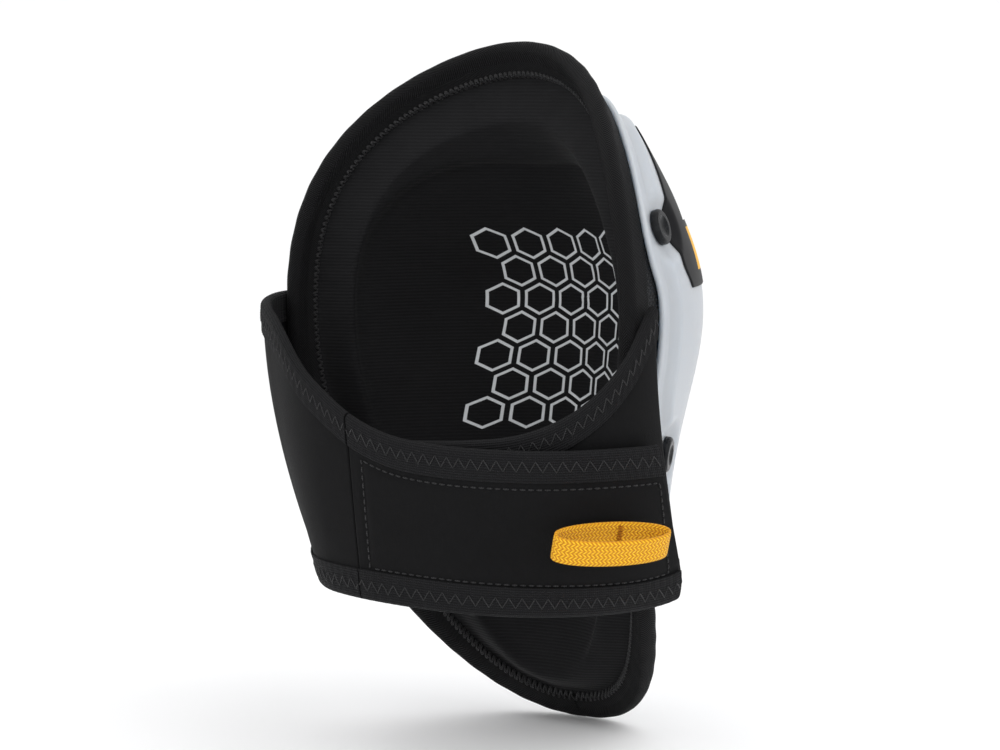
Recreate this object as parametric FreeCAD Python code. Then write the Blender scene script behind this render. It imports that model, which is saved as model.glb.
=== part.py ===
"""Knee pad: a moulded foam bowl with a hard cap riveted to its front and a two-part wrap strap.

Frame: millimetres, +Z up the wearer's leg, the cap faces -Y, and the wearer's knee enters from +Y.
The origin is the centre of the bowl's mouth, midway between its two wings.

The bowl's outer skin is one surface, hull(u, angle). u runs from 0 at the front pole to 1 at the rim, and
angle runs round the bowl as the wearer's front sees it, from +X towards +Z. Every layer, the cap and the
rivets are placed from that surface. The straps follow loop(turn, z), a half ellipse round the back of the
leg at each height, where turn is 0 at the +X wing, 90 at the back and 180 at the -X wing.
"""
import FreeCAD, Part

import math
import os

V = FreeCAD.Vector

# ---- bowl: driving dimensions -------------------------------------------------------------------------
POLE_Z = 159.0          # height of the front pole above the lowest point of the rim
HALF_WIDTH = 79.0       # rim half width at the pole's height
TOP_RISE = 99.0         # rim height above the pole
DEPTH = 99.0            # pole to wing rim
TOP_POWER = 2.05        # superellipse powers of the rim outline
BOTTOM_POWER = 2.3
TOP_LEAN = 45.0         # how far forward the rim sits at the top and at the bottom
BOTTOM_LEAN = 88.0
TOP_FLARE = 2.2         # profile powers, 1 is a round bowl and more is a flatter flap
BOTTOM_FLARE = 3.0
# from the drawing's heights, which start at the lowest rim point, to the origin
SHIFT = V(0.0, 0.0, -POLE_Z)

# ---- layers, from the outside in ----------------------------------------------------------------------
COVER_T = 1.1
LINING_T = 1.3
GAP = 0.15              # air between two layers of one body
RIM_T = 5.0             # cover, foam and lining together at the rim
HOLLOW_T = 14.5         # inside the hollow
RIDGE = (2.6, 4.4)      # how far the padded ridge round the hollow stands up, at the wings and at the top
RISE = (15.0, 26.0)     # distances from the rim over which the padding thickens
HOLLOW_SIDE = 19.0      # distance from the rim to the hollow at the wings
HOLLOW_TOP = 38.0
HOLLOW_STEP = 9.0
FOAM_INSET = 20.0       # comfort foam starts this far from the rim
CORE_T = (3.6, 6.2)     # inner face of the firm core at the rim and in the middle
GEL_T = 3.5
GEL_U = 0.42
LOOSE = 0.35            # air round the gel and outside the comfort foam
FOAM_LOOSE = (2.3, 0.5) # air between the comfort foam and the lining, at its edge and in the middle
TAPE_T = 0.8            # edge binding
TAPE_FLANGE = 7.2
TAPE_GAP = 0.4          # air inside the folded tape
TAPE_ROUND = RIM_T / 2 + TAPE_GAP + TAPE_T

# ---- cap ----------------------------------------------------------------------------------------------
CAP_GAP = 0.6
CAP_T = 2.4
CAP_RAISE = 3.0         # how far the middle of the cap stands above its flange
CAP_FLANGE = (13.0, 3.5)    # width of the cap's flange at the top and round the rest
CAP_SLOPE = 5.5
# half of the cap's edge, as (angle from straight up, distance from the rim)
CAP_EDGE = ((-15, 23), (0, 25), (15, 22), (26, 16), (36, 12.8), (48, 12.4), (67, 12.4), (76, 15), (83, 19),
            (92, 20), (101, 18), (110, 13.6), (118, 12.4), (130, 12.6), (142, 20), (158, 37),
            (180, 48), (202, 37))
LABEL_T = 0.5
LABEL_GAP = 0.6
# badge half width as (z, half width)
LABEL_SIDE = ((168, 72.0), (176, 73.0), (186, 71.5), (196, 68.0), (206, 62.0), (214, 55.5), (223, 46.0))

# ---- rivets -------------------------------------------------------------------------------------------
RIVETS = {"upper": (67.0, 20.5), "lower": (125.0, 20.5)}    # angle from straight up, distance from the rim
HEAD_R = 6.5
HEAD_T = 2.6
DISH_R = 3.4
SHANK_R = 2.4
WASHER_R = 6.0
WASHER_T = 0.8
DIMPLE = (8.0, 14.0)    # the cap's raised middle keeps this far from a rivet

# ---- straps -------------------------------------------------------------------------------------------
PANEL_T = 2.6
STRAP_STAND = 3.4       # middle of a strap off the bowl's skin at the wing
LAP = 5.6               # middle of the outer strap off the middle of the under strap
TRIM_T = 0.7
TRIM_FLANGE = 9.0
TRIM_FOLD = 2.2         # middle of the fold below the strap's edge
LOOP_BACK = (32.0, 45.0)    # how far behind the wing rim the straps pass, at LOOP_Z
LOOP_Z = (48.0, 164.0)
LOOP_SET = 6.0
# strap edges as (turn, z)
OUTER_TOP = ((-7, 164), (12, 163), (34, 160), (54, 152), (70, 137), (85, 124), (100, 117.5), (130, 115),
             (160, 115.5), (185, 116))
OUTER_LOW = ((-7, 58), (25, 57.5), (60, 58.5), (90, 57.5), (125, 54.5), (155, 53.5), (172, 55), (185, 59))
UNDER_TOP = ((76, 112), (95, 116), (115, 117.5), (130, 120), (145, 127), (158, 137), (170, 149), (180, 161),
             (187, 166))
UNDER_LOW = ((76, 66), (110, 60), (150, 58), (187, 60))
OUTER_END = 83.0        # turn where the closure tab begins
TAB_TURNS = (83.6, 177.0)
UNDER_END = 76.0
HOOK_TURNS = (87.0, 174.0)
ROOT_FRONT = -4.0       # turn where a strap's sewn root starts on the wing
ROOT_LINE = ((58.0, -32.8), (164.0, 2.7))   # straight line (z, y) where a strap starts to swing
ROOT_GAP = 0.5
HOOK_T = 1.6
HOOK_INSET = 12.0
LAP_RAMP = (40.0, 72.0)     # turns over which the outer strap climbs onto the under strap

# ---- pull loop ----------------------------------------------------------------------------------------
PULL_TURN = 151.5
PULL_Z = 85.5
PULL_LENGTH = 43.0
PULL_DEPTH = 14.0
PULL_DROOP = 24.0       # degrees that its front hangs down
PULL_W = 9.6
PULL_T = 1.3
PULL_STAND = 3.8
TACK_SLIDE = 5.0        # the bar tack sits this far along from the middle of the loop
TACK_HALF = 3.2
TACK_SLOPE = 38.0       # its two faces fall back at this angle, so that the loop can tip on it


# ---- small maths --------------------------------------------------------------------------------------
def smooth(x, low, high):
    """0 below low, 1 above high, and a smooth ramp between."""
    t = min(1.0, max(0.0, (x - low) / (high - low)))
    return t * t * (3 - 2 * t)


def curve_through(points, x):
    """Smooth (Catmull-Rom) value at x through a list of (x, value)."""
    last = len(points) - 1
    i = 0
    while i < last - 1 and x > points[i + 1][0]:
        i += 1
    (x0, y0), (x1, y1) = points[i], points[i + 1]
    before, after = points[max(i - 1, 0)], points[min(i + 2, last)]
    m0 = (y1 - before[1]) / (x1 - before[0])
    m1 = (after[1] - y0) / (after[0] - x0)
    h = x1 - x0
    t = min(1.0, max(0.0, (x - x0) / h))
    return ((2 * t ** 3 - 3 * t ** 2 + 1) * y0 + (t ** 3 - 2 * t ** 2 + t) * h * m0
            + (3 * t ** 2 - 2 * t ** 3) * y1 + (t ** 3 - t ** 2) * h * m1)


# ---- the bowl's surface -------------------------------------------------------------------------------
def reach(angle):
    """Distance from the pole to the rim in the front view, a superellipse in each half."""
    if math.sin(angle) > 0:
        height, power = TOP_RISE, TOP_POWER
    else:
        height, power = POLE_Z, BOTTOM_POWER
    across, up = abs(math.cos(angle)) / HALF_WIDTH, abs(math.sin(angle)) / height
    return (across ** power + up ** power) ** (-1 / power)


def lean(z):
    """How far forward of the wing rim the rim sits at a height."""
    if z > POLE_Z:
        return TOP_LEAN * ((z - POLE_Z) / TOP_RISE) ** 3
    return BOTTOM_LEAN * ((POLE_Z - z) / POLE_Z) ** 2


def half_width(z):
    """Half width of the rim at a height."""
    if z > POLE_Z:
        share, power = (z - POLE_Z) / TOP_RISE, TOP_POWER
    else:
        share, power = (POLE_Z - z) / POLE_Z, BOTTOM_POWER
    return HALF_WIDTH * (1 - min(1.0, share) ** power) ** (1 / power)


def hull(u, angle):
    """Point of the outer skin."""
    up = math.sin(angle)
    r = reach(angle) * math.sin(math.pi * u / 2)
    z = POLE_Z + r * up
    flare = 1 + ((TOP_FLARE if up > 0 else BOTTOM_FLARE) - 1) * up * up
    y = -lean(z) - DEPTH * max(0.0, math.cos(math.pi * u / 2)) ** flare
    return V(r * math.cos(angle), y, z)


def normal(u, angle):
    """Unit normal of the outer skin, pointing out of the bowl."""
    e = 0.004
    u = min(max(u, 0.02), 1 - e)
    along = hull(u + e, angle) - hull(u - e, angle)
    around = hull(u, angle + e) - hull(u, angle - e)
    n = along.cross(around)
    return n / n.Length


def skin(u, angle, depth):
    """Point at a depth below the outer skin, negative above it."""
    return hull(u, angle) - normal(u, angle) * depth


WALKS = {}


def walk(angle):
    """Distances from the rim along the skin, at u = 1, 0.99, 0.98 and so on."""
    key = round(angle, 7)
    if key not in WALKS:
        points = [hull(1 - k / 100, angle) for k in range(101)]
        far = [0.0]
        for here, there in zip(points, points[1:]):
            far.append(far[-1] + (there - here).Length)
        WALKS[key] = far
    return WALKS[key]


def inset(u, angle):
    """Distance from the rim along the skin."""
    far, k = walk(angle), (1 - u) * 100
    i = min(99, max(0, int(k)))
    return far[i] + (k - i) * (far[i + 1] - far[i])


def u_inside(angle, distance):
    """u of the point that lies a distance in from the rim."""
    far, i = walk(angle), 0
    while i < 99 and far[i + 1] < distance:
        i += 1
    return 1 - (i + (distance - far[i]) / (far[i + 1] - far[i])) / 100


def u_of(x, z):
    """(u, angle) of the skin's point at x, z in the front view."""
    angle = math.atan2(z - POLE_Z, x)
    share = math.hypot(x, z - POLE_Z) / reach(angle)
    return 2 / math.pi * math.asin(min(1.0, share)), angle


# ---- solids from two surfaces -------------------------------------------------------------------------
def clamped(n):
    """Knot multiplicities of a clamped cubic with n + 1 control points."""
    return [4] + [1] * (n - 3) + [4]


def face_of(poles, columns):
    """Smooth face drawn by rows of control points, or a ruled one when there are two rows."""
    rows = len(poles) - 1
    degree, knots = (3, clamped(rows)) if rows > 1 else (1, [2, 2])
    face = Part.BSplineSurface()
    face.buildFromPolesMultsKnots(poles, knots, clamped(columns), list(range(len(knots))),
                                  list(range(columns - 1)), False, False, degree, 3)
    return face.toShape()


def sheet(outer, inner, rows, columns):
    """A closed solid between two surfaces given as functions of two parameters from 0 to 1."""
    top, bottom = ([[point(i / rows, j / columns) for j in range(columns + 1)] for i in range(rows + 1)]
                   for point in (outer, inner))
    faces = [face_of(top, columns), face_of(bottom, columns)]
    for i in (0, -1):
        faces.append(face_of([top[i], bottom[i]], columns))
        faces.append(face_of([[row[i] for row in top], [row[i] for row in bottom]], rows))
    shell = Part.makeShell(faces)
    shell.sewShape()
    solid = Part.makeSolid(shell.Shells[0] if shell.ShapeType != "Shell" else shell)
    if solid.Volume < 0:
        solid.reverse()
    return solid


def disc(s, t):
    """(share of the way out, angle) of a square's point laid on a disc."""
    a, b = 2 * s - 1, 2 * t - 1
    x, y = a * math.sqrt(1 - b * b / 2), b * math.sqrt(1 - a * a / 2)
    return math.hypot(x, y), math.atan2(y, x)


def layer(extent, top, bottom, n=22):
    """A layer of the bowl: extent(angle) is the u of its edge, top and bottom are depths at (u, angle)."""
    def at(depth):
        def point(s, t):
            out, angle = disc(s, t)
            u = out * extent(angle)
            return skin(u, angle, depth(u, angle))
        return point
    return sheet(at(top), at(bottom), n, n)


def cylinder(centre, axis, radius, low, high):
    return Part.makeCylinder(radius, high - low, centre + axis * low, axis)


# ---- pad layers ---------------------------------------------------------------------------------------
def upness(angle):
    """1 straight up, 0 at the wings and below."""
    return max(0.0, math.sin(angle)) ** 2


def thickness(u, angle):
    """Cover to lining: thin at the rim, thickest on the ridge, and less again inside the hollow."""
    d, up = inset(u, angle), upness(angle)
    hollow = HOLLOW_SIDE + (HOLLOW_TOP - HOLLOW_SIDE) * up
    ridge = (RIDGE[0] + (RIDGE[1] - RIDGE[0]) * up) * (1 - smooth(d, hollow, hollow + HOLLOW_STEP))
    return RIM_T + (HOLLOW_T - RIM_T + ridge) * smooth(d, *RISE)


def core_depth(u, angle):
    """Inner face of the firm foam core."""
    return CORE_T[0] + (CORE_T[1] - CORE_T[0]) * smooth(inset(u, angle), 20.0, 60.0)


def gel_room(u):
    return (GEL_T + LOOSE) * (1 - smooth(u, GEL_U + 0.05, GEL_U + 0.17))


def edge_of_layers(angle):
    return u_inside(angle, TAPE_ROUND)


def edge_of_comfort_foam(angle):
    return u_inside(angle, FOAM_INSET)


def make_cover():
    return layer(edge_of_layers, lambda u, a: 0.0, lambda u, a: COVER_T, 34)


def make_core():
    return layer(edge_of_layers, lambda u, a: COVER_T + GAP, core_depth, 34)


def make_comfort_foam():
    def air(u, a):
        return FOAM_LOOSE[0] + (FOAM_LOOSE[1] - FOAM_LOOSE[0]) * smooth(inset(u, a), 30.0, 48.0)
    return layer(edge_of_comfort_foam, lambda u, a: core_depth(u, a) + LOOSE + gel_room(u),
                 lambda u, a: thickness(u, a) - LINING_T - air(u, a), 60)


def make_gel():
    return layer(lambda a: GEL_U, lambda u, a: core_depth(u, a) + LOOSE,
                 lambda u, a: core_depth(u, a) + GEL_T, 16)


def make_lining():
    return layer(edge_of_layers, lambda u, a: thickness(u, a) - LINING_T, thickness, 60)


def make_binding():
    """Edge tape folded over the rim, one length with its ends meeting at the bottom."""
    ends = math.radians(0.35)

    def at(lift):
        radius = RIM_T / 2 + lift

        def point(s, t):
            angle = -math.pi / 2 + ends + s * (2 * math.pi - 2 * ends)
            w = abs(2 * t - 1)
            side = 1 if t < 0.5 else -1
            if w > 0.4:         # flange on one face
                u = u_inside(angle, TAPE_ROUND + TAPE_FLANGE * (w - 0.4) / 0.6)
                return skin(u, angle, RIM_T / 2 - side * radius)
            edge = u_inside(angle, TAPE_ROUND)
            outward = hull(edge, angle) - hull(edge - 0.02, angle)
            outward = outward / outward.Length
            turn = math.pi / 2 * w / 0.4
            off = normal(edge, angle) * (side * math.sin(turn)) + outward * math.cos(turn)
            return skin(edge, angle, RIM_T / 2) + off * radius
        return point
    return sheet(at(TAPE_GAP + TAPE_T), at(TAPE_GAP), 96, 20)


# ---- cap, label and rivets ----------------------------------------------------------------------------
def from_top(angle):
    """Degrees from straight up, the same on both sides."""
    return abs((math.degrees(angle) - 90 + 180) % 360 - 180)


def cap_inset(angle):
    return curve_through(CAP_EDGE, from_top(angle))


def cap_edge(angle):
    return u_inside(angle, cap_inset(angle))


def cap_lift(u, angle):
    """Height of the cap's outer face above the skin."""
    flange = CAP_FLANGE[0] + (CAP_FLANGE[1] - CAP_FLANGE[0]) * smooth(from_top(angle), 12, 42)
    raised = smooth(inset(u, angle) - cap_inset(angle), flange, flange + CAP_SLOPE)
    here = hull(u, angle)
    for foot in RIVET_FEET:
        raised *= smooth((here - foot).Length, *DIMPLE)
    return CAP_GAP + CAP_T + CAP_RAISE * raised


def make_cap():
    return layer(cap_edge, lambda u, a: -cap_lift(u, a), lambda u, a: CAP_T - cap_lift(u, a), 60)


def make_label():
    """Thin badge across the upper front of the cap."""
    low, high = LABEL_SIDE[0][0], LABEL_SIDE[-1][0]

    def at(lift):
        def point(s, t):
            z = low + (high - low) * t
            u, angle = u_of(curve_through(LABEL_SIDE, z) * math.sin(math.pi / 2 * (2 * s - 1)), z)
            return skin(u, angle, -cap_lift(u, angle) - lift)
        return point
    return sheet(at(LABEL_GAP + LABEL_T), at(LABEL_GAP), 64, 32)


def rivet_seat(name, side):
    """(u, angle) of a rivet, on the +X side for side 1."""
    angle = math.radians(90 - side * RIVETS[name][0])
    return u_inside(angle, RIVETS[name][1]), angle


RIVET_FEET = [hull(*rivet_seat(name, side)) for name in RIVETS for side in (1, -1)]


def rivet_place(name, side):
    """(point on the skin, outward normal, cap height there, depth of the core's inner face there)."""
    u, angle = rivet_seat(name, side)
    return hull(u, angle), normal(u, angle), cap_lift(u, angle), core_depth(u, angle)


def make_rivet(name, side):
    """Dished round head with its shank, through the cap, the cover and the core."""
    foot, out, lift, depth = rivet_place(name, side)
    seat = lift + 0.25
    dome = cylinder(foot, out, HEAD_R, seat, seat + HEAD_T)
    top = foot + out * (seat + HEAD_T)
    rim = [e for e in dome.Edges if (e.CenterOfMass - top).Length < 0.5 and e.Length > HEAD_R]
    dome = dome.makeFillet(1.4, rim)
    dish = Part.makeSphere(DISH_R * 2.2, top + out * (DISH_R * 2.2 - 1.1))
    shank = cylinder(foot, out, SHANK_R, 0.1 - depth, seat)
    return dome.cut(dish).fuse(shank).removeSplitter()


def make_washer(name, side):
    foot, out, lift, depth = rivet_place(name, side)
    ring = cylinder(foot, out, WASHER_R, 0.3 - depth, 0.3 - depth + WASHER_T)
    return ring.cut(cylinder(foot, out, SHANK_R + 0.1, -depth - 9, 9))


def drill(solid, radius, low, high):
    """Cuts the four rivet holes, or pockets, along each rivet's axis between two heights above the skin."""
    for name in RIVETS:
        for side in (1, -1):
            foot, out, lift, depth = rivet_place(name, side)
            solid = solid.cut(cylinder(foot, out, radius, low(lift, depth), high(lift, depth)))
    return solid


# ---- straps -------------------------------------------------------------------------------------------
def loop(turn, z, out=0.0):
    """Middle surface of the wrap: a half ellipse round the back of the leg at each height."""
    a = half_width(z) + STRAP_STAND
    middle = -lean(z) - LOOP_SET
    back = LOOP_BACK[0] + (LOOP_BACK[1] - LOOP_BACK[0]) * (z - LOOP_Z[0]) / (LOOP_Z[1] - LOOP_Z[0])
    b = back - middle
    c, s = math.cos(math.radians(turn)), math.sin(math.radians(turn))
    n = V(b * c, a * s, 0)
    return V(a * c, middle + b * s, z) + n / n.Length * out


def outer_lap(turn):
    return LAP * smooth(turn, *LAP_RAMP)


def under_lap(turn):
    return 0.0


def start_turn(side, z, ahead=0.0):
    """Turn where the root line crosses the loop, for the +X wing (side 1) or the -X wing (side -1)."""
    (z0, y0), (z1, y1) = ROOT_LINE
    y = y0 + (y1 - y0) * (z - z0) / (z1 - z0) - ahead
    middle = -lean(z) - LOOP_SET
    back = LOOP_BACK[0] + (LOOP_BACK[1] - LOOP_BACK[0]) * (z - LOOP_Z[0]) / (LOOP_Z[1] - LOOP_Z[0])
    turn = math.degrees(math.asin((y - middle) / (back - middle)))
    return turn if side > 0 else 180 - turn


def ends(begin, end, z_at):
    """End turns of a long line on a strap, found by walking to where it meets the strap's end lines."""
    first, last = 20.0, 160.0
    for _ in range(16):
        first, last = begin(z_at(first)), end(z_at(last))
    return first, last


def strap_sheet(begin, end, low, high, lap, out, back, rows=36, columns=12):
    """A strip of strap between two edge curves, from out to back of its middle surface.
    begin and end give its end turns from the height z at that end."""
    lines = {}

    def at(lift):
        def point(s, t):
            def z_at(turn):
                return low(turn) + (high(turn) - low(turn)) * t
            if t not in lines:
                lines[t] = ends(begin, end, z_at)
            first, last = lines[t]
            turn = first + (last - first) * s
            return loop(turn, z_at(turn), lap(turn) + lift)
        return point
    return sheet(at(out), at(back), rows, columns)


def strap_panel(begin, end, low, high, lap):
    fold = TRIM_FOLD + 0.05
    return strap_sheet(begin, end, lambda k: curve_through(low, k) + fold,
                       lambda k: curve_through(high, k) - fold, lap, PANEL_T / 2, -PANEL_T / 2)


def strap_trim(begin, end, edge, lap, up):
    """Elastic tape folded over a strap's long edge: up is 1 for the top edge and -1 for the low one."""
    def at(lift):
        radius = PANEL_T / 2 + lift

        def point(s, t):
            w, side = abs(2 * t - 1), 1 if t < 0.5 else -1
            bend = math.pi / 2 * min(1.0, w / 0.4)
            drop = TRIM_FOLD - radius * math.cos(bend) + TRIM_FLANGE * max(0.0, w - 0.4) / 0.6
            first, last = ends(begin, end, lambda k: curve_through(edge, k) - up * drop)
            turn = first + (last - first) * s
            z = curve_through(edge, turn) - up * drop
            return loop(turn, z, lap(turn) + side * radius * math.sin(bend))
        return point
    return sheet(at(GAP + TRIM_T), at(GAP), 40, 20)


def make_root(side, low, high):
    """The end of a strap that is sewn flat on the wing."""
    def begin(z):
        return ROOT_FRONT if side > 0 else 180 - ROOT_FRONT

    def end(z):
        return start_turn(side, z, ROOT_GAP)
    if side < 0:
        begin, end = end, begin
    return strap_sheet(begin, end, lambda k: curve_through(low, k), lambda k: curve_through(high, k),
                       under_lap, PANEL_T / 2, 2 * TAPE_GAP + TAPE_T - STRAP_STAND, 8, 24)


def make_hook():
    return strap_sheet(lambda z: HOOK_TURNS[0], lambda z: HOOK_TURNS[1],
                       lambda k: curve_through(OUTER_LOW, k) + HOOK_INSET,
                       lambda k: curve_through(OUTER_TOP, k) - HOOK_INSET,
                       outer_lap, -PANEL_T / 2 - GAP, -PANEL_T / 2 - HOOK_T)


# ---- pull loop ----------------------------------------------------------------------------------------
def pull_frame():
    """(tack point on the strap, along, outward, across) of the pull loop."""
    tack = loop(PULL_TURN, PULL_Z, outer_lap(PULL_TURN) + PANEL_T / 2)
    along = loop(PULL_TURN + 1, PULL_Z, 0) - loop(PULL_TURN - 1, PULL_Z, 0)
    along = along / along.Length
    flat_out = along.cross(V(0, 0, 1))
    droop = math.radians(PULL_DROOP)
    outward = flat_out * math.cos(droop) + V(0, 0, -math.sin(droop))
    return tack + flat_out * PULL_STAND, along, outward, outward.cross(along)


def make_pull_loop():
    """Webbing ring, a flattened oval whose back lies along the strap."""
    centre, along, outward, across = pull_frame()

    def wire(inset):
        a, b = PULL_LENGTH / 2 - inset, PULL_DEPTH / 2 - inset
        points = []
        for k in range(28):
            w = 2 * math.pi * k / 28
            c, s = math.cos(w), math.sin(w)
            wall = outward * (PULL_DEPTH / 2 + b * s) - across * (PULL_W / 2)
            points.append(centre + along * (a * c) + wall)
        ring = Part.BSplineCurve()
        ring.interpolate(points, PeriodicFlag=True)
        return Part.Wire(ring.toShape())
    outside = Part.Face(wire(0.0)).extrude(across * PULL_W)
    inside = Part.Face(wire(PULL_T)).extrude(across * PULL_W)
    return outside.cut(inside)


def make_bar_tack():
    """Wedge of stitches between the strap and the loop's back, with its ridge under the loop."""
    centre, along, outward, across = pull_frame()
    out, up = along.cross(V(0, 0, 1)), V(0, 0, 1)
    reach_back = PULL_DEPTH / 2 * (1 - math.sqrt(1 - (TACK_SLIDE / (PULL_LENGTH / 2)) ** 2))
    ridge = centre + along * TACK_SLIDE + out * (reach_back - 0.2)
    slope = math.tan(math.radians(TACK_SLOPE))
    spot = PULL_TURN + TACK_SLIDE / ((loop(PULL_TURN + 1, PULL_Z) - loop(PULL_TURN, PULL_Z)).Length)

    def foot(rise):
        seat = loop(spot, PULL_Z + rise, outer_lap(spot) + PANEL_T / 2)
        return ridge + up * rise + out * ((seat - ridge).dot(out) + 0.12)
    top, low = (ridge + up * (TACK_HALF * k) - out * (slope * TACK_HALF) for k in (1, -1))
    corners = [ridge, top, foot(TACK_HALF), foot(-TACK_HALF), low, ridge]
    section = Part.Face(Part.Wire(Part.makePolygon(corners)))
    section.translate(along * -1.0)
    return section.extrude(along * 2.0)


# ---- everything ---------------------------------------------------------------------------------------
def make_all():
    nodes = {}
    shank, below, above = SHANK_R + 0.1, lambda lift, depth: -depth - 3.0, lambda lift, depth: lift + 3.0
    nodes["knee_cap"] = drill(make_cap(), shank, below, above)
    nodes["outer_cover"] = drill(make_cover(), shank, below, above)
    core = drill(make_core(), shank, below, above)
    nodes["foam_core"] = drill(core, WASHER_R + 0.3, below, lambda lift, depth: 0.6 + WASHER_T - depth)
    nodes["comfort_foam"] = make_comfort_foam()
    nodes["gel_pad"] = make_gel()
    nodes["inner_lining"] = make_lining()
    nodes["edge_binding"] = make_binding()
    nodes["cap_label"] = make_label()
    for name in RIVETS:
        for side, hand in ((1, "left"), (-1, "right")):
            nodes[f"{name}_{hand}_rivet"] = make_rivet(name, side)
            nodes[f"{name}_{hand}_washer"] = make_washer(name, side)
    outer, outer_end = (lambda z: start_turn(1, z)), (lambda z: OUTER_END)
    nodes["outer_strap_root"] = make_root(1, OUTER_LOW, OUTER_TOP)
    nodes["outer_strap_panel"] = strap_panel(outer, outer_end, OUTER_LOW, OUTER_TOP, outer_lap)
    nodes["outer_strap_top_trim"] = strap_trim(outer, outer_end, OUTER_TOP, outer_lap, 1)
    nodes["outer_strap_low_trim"] = strap_trim(outer, outer_end, OUTER_LOW, outer_lap, -1)
    tab, tab_end = (lambda z: TAB_TURNS[0]), (lambda z: TAB_TURNS[1])
    nodes["closure_tab_panel"] = strap_panel(tab, tab_end, OUTER_LOW, OUTER_TOP, outer_lap)
    nodes["closure_tab_top_trim"] = strap_trim(tab, tab_end, OUTER_TOP, outer_lap, 1)
    nodes["closure_tab_low_trim"] = strap_trim(tab, tab_end, OUTER_LOW, outer_lap, -1)
    nodes["hook_patch"] = make_hook()
    under, under_end = (lambda z: UNDER_END), (lambda z: start_turn(-1, z))
    nodes["under_strap_root"] = make_root(-1, UNDER_LOW, UNDER_TOP)
    nodes["under_strap_panel"] = strap_panel(under, under_end, UNDER_LOW, UNDER_TOP, under_lap)
    nodes["under_strap_top_trim"] = strap_trim(under, under_end, UNDER_TOP, under_lap, 1)
    nodes["under_strap_low_trim"] = strap_trim(under, under_end, UNDER_LOW, under_lap, -1)
    nodes["pull_loop"] = make_pull_loop()
    nodes["pull_loop_bar_tack"] = make_bar_tack()
    return nodes


os.makedirs("parts", exist_ok=True)
for node_name, node in make_all().items():
    node.translate(SHIFT)
    node.exportStep(f"parts/{node_name}.step")
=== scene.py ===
import math

import bpy
import numpy as np
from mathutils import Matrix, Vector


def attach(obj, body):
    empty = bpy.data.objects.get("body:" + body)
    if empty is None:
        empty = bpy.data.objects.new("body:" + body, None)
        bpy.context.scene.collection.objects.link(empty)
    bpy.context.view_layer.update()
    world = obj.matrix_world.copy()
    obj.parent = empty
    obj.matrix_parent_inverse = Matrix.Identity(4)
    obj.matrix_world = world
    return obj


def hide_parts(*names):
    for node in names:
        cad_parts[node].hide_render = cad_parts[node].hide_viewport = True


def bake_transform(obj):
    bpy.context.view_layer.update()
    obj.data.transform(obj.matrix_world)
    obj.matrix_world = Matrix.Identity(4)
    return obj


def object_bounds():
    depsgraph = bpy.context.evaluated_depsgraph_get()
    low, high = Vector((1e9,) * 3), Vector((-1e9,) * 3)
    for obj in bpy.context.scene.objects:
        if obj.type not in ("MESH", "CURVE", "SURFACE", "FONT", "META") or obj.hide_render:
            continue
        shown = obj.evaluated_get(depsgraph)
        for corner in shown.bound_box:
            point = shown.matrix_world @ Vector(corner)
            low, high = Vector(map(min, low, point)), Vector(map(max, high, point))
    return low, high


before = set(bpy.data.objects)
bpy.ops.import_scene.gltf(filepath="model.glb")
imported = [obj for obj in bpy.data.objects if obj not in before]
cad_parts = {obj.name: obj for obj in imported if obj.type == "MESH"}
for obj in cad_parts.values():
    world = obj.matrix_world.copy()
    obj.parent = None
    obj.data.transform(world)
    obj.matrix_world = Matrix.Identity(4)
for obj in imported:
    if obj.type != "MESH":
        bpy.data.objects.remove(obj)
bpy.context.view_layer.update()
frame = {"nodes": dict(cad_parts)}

PI = math.pi


# ---- Outer cover --------------------------------------------------------------------------------------
# A skin of coarse woven nylon over the front of the foam. It is moulded with the foam into a deep bowl
# and shows between the edge tape and the cap, and below the cap.
POLE_Z, HALF_WIDTH, TOP_RISE, DEPTH = 159.0, 79.0, 99.0, 99.0
COVER_T, RIM_T, TAPE_ROUND = 1.1, 5.0, 3.6


def smooth(x, low, high):
    """0 below low, 1 above high, and t*t*(3 - 2t) between, with t the share of the way."""
    t = np.clip((np.asarray(x, float) - low) / (high - low), 0, 1)
    return t * t * (3 - 2 * t)


def through(points, x):
    """Catmull-Rom value at x through a list of (x, value): a cubic in each gap, and each slope is the chord's
    over the two points beside it."""
    px, py = np.array(points, float).T
    slope = np.concatenate([[(py[1] - py[0]) / (px[1] - px[0])], (py[2:] - py[:-2]) / (px[2:] - px[:-2]),
                            [(py[-1] - py[-2]) / (px[-1] - px[-2])]])
    x = np.asarray(x, float)
    i = np.clip(np.searchsorted(px, x, side="right") - 1, 0, len(px) - 2)
    h = px[i + 1] - px[i]
    t = np.clip((x - px[i]) / h, 0, 1)
    return ((2 * t ** 3 - 3 * t ** 2 + 1) * py[i] + (t ** 3 - 2 * t ** 2 + t) * h * slope[i]
            + (3 * t ** 2 - 2 * t ** 3) * py[i + 1] + (t ** 3 - t ** 2) * h * slope[i + 1])


def lean(z):
    """How far forward the rim sits: a cube of the height above the pole, a square of the depth below it."""
    v = z - POLE_Z
    return np.where(v > 0, 45.0 * np.abs(v / TOP_RISE) ** 3, 88.0 * (v / POLE_Z) ** 2)


def half_width(z):
    """Half width of the rim, a superellipse in each half."""
    v = z - POLE_Z
    share = np.clip(np.where(v > 0, v / TOP_RISE, -v / POLE_Z), 0, 1)
    power = np.where(v > 0, 2.05, 2.3)
    return HALF_WIDTH * (1 - share ** power) ** (1 / power)


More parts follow.
